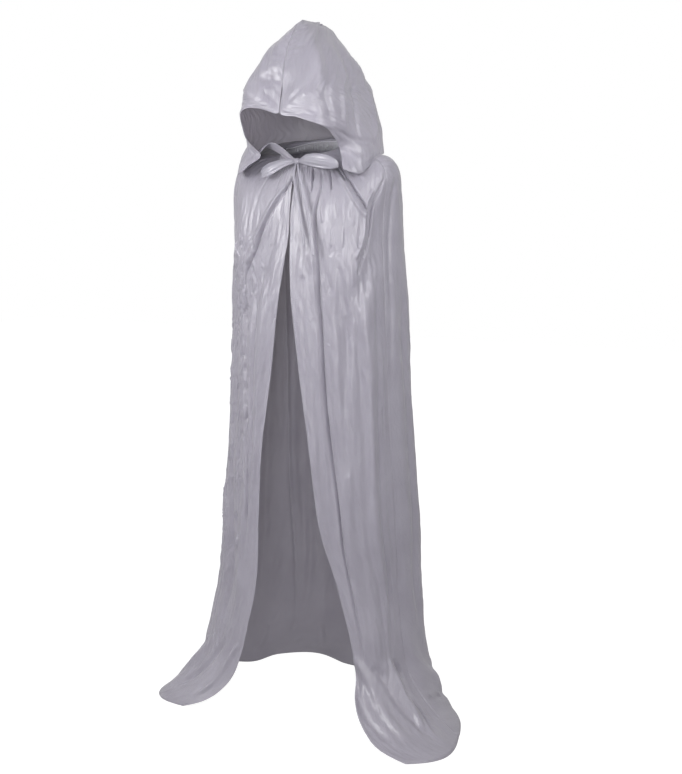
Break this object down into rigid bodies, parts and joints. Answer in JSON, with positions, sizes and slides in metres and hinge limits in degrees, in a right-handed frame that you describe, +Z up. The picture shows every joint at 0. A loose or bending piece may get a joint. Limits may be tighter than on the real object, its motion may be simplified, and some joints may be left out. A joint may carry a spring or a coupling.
{
  "type": "hooded cape",
  "caption": "Floor-length hooded cape of thin satin, gathered at the neck into a ribbon tie, open down the front, hollow as worn.",
  "frame": {"origin": "middle of the gathered neckline, on the wearer's neck axis, where the wearer's neck and shoulders carry the garment", "axes": "+Z up; -Y is the way the wearer faces; +X is the wearer's left. The floor under the hem is at z = -1.480 m"},
  "size_m": [0.9352, 0.5974, 1.8294],
  "materials": {
    "satin": "silver-grey crushed satin with a soft sheen",
    "ribbon": "silver-grey satin ribbon and binding"
  },
  "bodies": {
    "root": {"hood_left": "satin", "hood_right": "satin", "cape_left_front": "satin", "cape_back": "satin", "cape_right_front": "satin", "neck_casing": "satin", "neck_piping": "ribbon", "tie_knot": "ribbon", "tie_loop_left": "ribbon", "tie_loop_right": "ribbon", "tie_tail_long": "ribbon", "tie_tail_short": "ribbon"}
  },
  "joints": []
}
